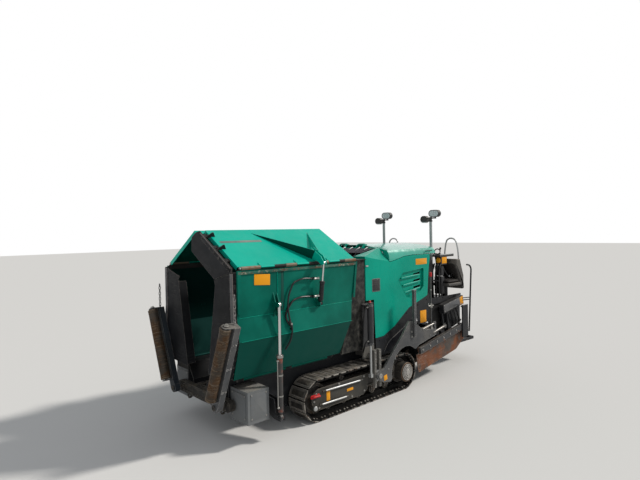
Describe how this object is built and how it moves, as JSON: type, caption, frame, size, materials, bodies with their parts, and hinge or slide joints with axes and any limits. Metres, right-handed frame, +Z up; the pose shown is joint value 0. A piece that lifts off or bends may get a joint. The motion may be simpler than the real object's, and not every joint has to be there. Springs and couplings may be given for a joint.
{
  "type": "tracked asphalt paver",
  "caption": "Small tracked asphalt paver: folding hopper wings and top flaps, folded push rollers, engine hood, operator's stand, auger and raised extending screed on tow arms.",
  "frame": {"origin": "centre of the bounding box, on the ground under the tracks", "axes": "-Y is forwards (the hopper's end), +X is the machine's left side, +Z is up"},
  "size_m": [1.628, 4.55, 2.263],
  "materials": {
    "teal_paint": "glossy, scuffed",
    "dark_paint": "satin, dusty",
    "grey_paint": "satin, worn",
    "apron_steel": "matt, scraped",
    "rubber": "matt",
    "chromed_rod": "polished",
    "rusty_steel": "rusty, scratched",
    "track_steel": "rough, muddy",
    "seat_cover": "matt",
    "engine_iron": "rough",
    "dark_plastic": "matt"
  },
  "bodies": {
    "chassis": {"main_frame": "dark_paint", "side_frames": "dark_paint", "deck_beams": "dark_paint", "front_beam": "grey_paint", "hopper_floor": "dark_paint", "conveyor": "track_steel", "track_left": "track_steel", "track_right": "track_steel", "track_frames": "track_steel", "track_covers": "grey_paint", "front_boxes": "grey_paint", "rear_shield": "rubber", "hood": "teal_paint", "radiator_grille": "dark_paint", "engine_block": "engine_iron", "lower_panels": "dark_paint", "platform": "dark_paint", "rear_step": "dark_paint", "console": "dark_plastic", "seat_left": "seat_cover", "seat_right": "seat_cover", "tow_guides": "grey_paint", "auger_drive": "dark_paint"},
    "lid": {"hood_lid": "teal_paint"},
    "tow_sliders": {"tow_sliders": "grey_paint"},
    "screed": {"tow_arms": "grey_paint", "screed": "dark_paint"},
    "auger": {"auger": "rusty_steel"},
    "lift_barrels": {"lift_cylinders": "grey_paint"},
    "lift_rods": {"lift_rods": "chromed_rod"},
    "wing_left": {"wing_left": "teal_paint", "apron_left": "apron_steel", "wing_hoses_left": "rubber"},
    "flap_left": {"flap_left": "teal_paint", "flap_apron_left": "apron_steel"},
    "wing_barrel_left": {"wing_cylinder_left": "grey_paint"},
    "wing_rod_left": {"wing_rod_left": "chromed_rod"},
    "flap_barrel_left": {"flap_cylinder_left": "grey_paint"},
    "flap_rod_left": {"flap_rod_left": "chromed_rod"},
    "push_arm_left": {"push_arm_left": "grey_paint"},
    "push_roller_left": {"push_roller_left": "rusty_steel"},
    "extension_left": {"extension_left": "dark_paint", "end_plate_left": "rusty_steel", "side_box_left": "grey_paint"},
    "mast_left": {"light_mast_left": "dark_paint"},
    "wing_right": {"wing_right": "teal_paint", "apron_right": "apron_steel", "wing_hoses_right": "rubber"},
    "flap_right": {"flap_right": "teal_paint"},
    "wing_barrel_right": {"wing_cylinder_right": "grey_paint"},
    "wing_rod_right": {"wing_rod_right": "chromed_rod"},
    "flap_barrel_right": {"flap_cylinder_right": "grey_paint"},
    "flap_rod_right": {"flap_rod_right": "chromed_rod"},
    "push_arm_right": {"push_arm_right": "grey_paint"},
    "push_roller_right": {"push_roller_right": "rusty_steel"},
    "extension_right": {"extension_right": "dark_paint", "end_plate_right": "rusty_steel", "side_box_right": "grey_paint"},
    "mast_right": {"light_mast_right": "dark_paint"}
  },
  "joints": [
    {"name": "wing_left_fold", "type": "hinge", "parent": "chassis", "child": "wing_left", "pos_m": [0.56, -1.364, 0.61], "axis": [0, 1, 0], "range_deg": [0, 50]},
    {"name": "flap_left_fold", "type": "hinge", "parent": "wing_left", "child": "flap_left", "pos_m": [0.7, -1.264, 1.665], "axis": [0, 1, 0], "range_deg": [0, 60]},
    {"name": "wing_barrel_left_turn", "type": "hinge", "parent": "chassis", "child": "wing_barrel_left", "pos_m": [0.745, -1.634, 0.214], "axis": [0, 1, 0], "range_deg": [-2, 45]},
    {"name": "wing_rod_left_slide", "type": "slide", "parent": "wing_barrel_left", "child": "wing_rod_left", "axis": [0.0065, 0, 1], "range_m": [-0.27, 0.01]},
    {"name": "flap_barrel_left_turn", "type": "hinge", "parent": "wing_left", "child": "flap_barrel_left", "pos_m": [0.738, -1.079, 1.244], "axis": [0, 1, 0], "range_deg": [-20, 5]},
    {"name": "flap_rod_left_slide", "type": "slide", "parent": "flap_barrel_left", "child": "flap_rod_left", "axis": [0.1355, 0, 0.9908], "range_m": [-0.12, 0.01]},
    {"name": "push_arm_left_fold", "type": "hinge", "parent": "chassis", "child": "push_arm_left", "pos_m": [0.42, -2.134, 0.36], "axis": [0, 1, 0], "range_deg": [0, 67]},
    {"name": "push_roller_left_spin", "type": "hinge", "parent": "push_arm_left", "child": "push_roller_left", "pos_m": [0.60754, -2.222, 0.81053], "axis": [0.3843, 0, 0.9232], "continuous": true},
    {"name": "extension_left_slide", "type": "slide", "parent": "screed", "child": "extension_left", "axis": [1, 0, 0], "range_m": [0, 0.5]},
    {"name": "mast_left_slide", "type": "slide", "parent": "chassis", "child": "mast_left", "axis": [0, 0, 1], "range_m": [-0.35, 0]},
    {"name": "wing_right_fold", "type": "hinge", "parent": "chassis", "child": "wing_right", "pos_m": [-0.56, -1.364, 0.61], "axis": [0, -1, 0], "range_deg": [0, 50]},
    {"name": "flap_right_fold", "type": "hinge", "parent": "wing_right", "child": "flap_right", "pos_m": [-0.7, -1.264, 1.665], "axis": [0, -1, 0], "range_deg": [0, 60]},
    {"name": "wing_barrel_right_turn", "type": "hinge", "parent": "chassis", "child": "wing_barrel_right", "pos_m": [-0.745, -1.634, 0.214], "axis": [0, -1, 0], "range_deg": [-2, 45]},
    {"name": "wing_rod_right_slide", "type": "slide", "parent": "wing_barrel_right", "child": "wing_rod_right", "axis": [-0.0065, 0, 1], "range_m": [-0.27, 0.01]},
    {"name": "flap_barrel_right_turn", "type": "hinge", "parent": "wing_right", "child": "flap_barrel_right", "pos_m": [-0.738, -1.079, 1.244], "axis": [0, -1, 0], "range_deg": [-20, 5]},
    {"name": "flap_rod_right_slide", "type": "slide", "parent": "flap_barrel_right", "child": "flap_rod_right", "axis": [-0.1355, 0, 0.9908], "range_m": [-0.12, 0.01]},
    {"name": "push_arm_right_fold", "type": "hinge", "parent": "chassis", "child": "push_arm_right", "pos_m": [-0.42, -2.134, 0.36], "axis": [0, -1, 0], "range_deg": [0, 67]},
    {"name": "push_roller_right_spin", "type": "hinge", "parent": "push_arm_right", "child": "push_roller_right", "pos_m": [-0.60754, -2.222, 0.81053], "axis": [-0.3843, 0, 0.9232], "continuous": true},
    {"name": "extension_right_slide", "type": "slide", "parent": "screed", "child": "extension_right", "axis": [-1, 0, 0], "range_m": [0, 0.5]},
    {"name": "mast_right_slide", "type": "slide", "parent": "chassis", "child": "mast_right", "axis": [0, 0, 1], "range_m": [-0.35, 0]},
    {"name": "hood_lid_open", "type": "hinge", "parent": "chassis", "child": "lid", "pos_m": [0, 0.2, 1.813], "axis": [1, 0, 0], "range_deg": [0, 50]},
    {"name": "tow_points_slide", "type": "slide", "parent": "chassis", "child": "tow_sliders", "axis": [0, 0, 1], "range_m": [-0.04, 0.06]},
    {"name": "screed_lift", "type": "hinge", "parent": "tow_sliders", "child": "screed", "pos_m": [0, -0.189, 0.3], "axis": [1, 0, 0], "range_deg": [-9.5, 0]},
    {"name": "auger_spin", "type": "hinge", "parent": "chassis", "child": "auger", "pos_m": [0, 0.721, 0.27], "axis": [1, 0, 0], "continuous": true},
    {"name": "lift_barrels_turn", "type": "hinge", "parent": "chassis", "child": "lift_barrels", "pos_m": [0, 0.836, 1.18], "axis": [1, 0, 0], "range_deg": [-4, 4]},
    {"name": "lift_rods_slide", "type": "slide", "parent": "lift_barrels", "child": "lift_rods", "axis": [0, 0.1433, -0.9897], "range_m": [-0.01, 0.22]}
  ],
  "couplings": [
    {"joint": "wing_barrel_left_turn", "follows": "wing_left_fold", "ratio": 0.67176},
    {"joint": "wing_rod_left_slide", "follows": "wing_left_fold", "m_per_rad": -0.28734},
    {"joint": "flap_barrel_left_turn", "follows": "flap_left_fold", "ratio": -0.09439},
    {"joint": "flap_rod_left_slide", "follows": "flap_left_fold", "m_per_rad": -0.08437},
    {"joint": "wing_barrel_right_turn", "follows": "wing_right_fold", "ratio": 0.67176},
    {"joint": "wing_rod_right_slide", "follows": "wing_right_fold", "m_per_rad": -0.28734},
    {"joint": "flap_barrel_right_turn", "follows": "flap_right_fold", "ratio": -0.09439},
    {"joint": "flap_rod_right_slide", "follows": "flap_right_fold", "m_per_rad": -0.08437},
    {"joint": "lift_barrels_turn", "follows": "screed_lift", "ratio": -0.17107},
    {"joint": "lift_rods_slide", "follows": "screed_lift", "m_per_rad": -1.1548}
  ]
}
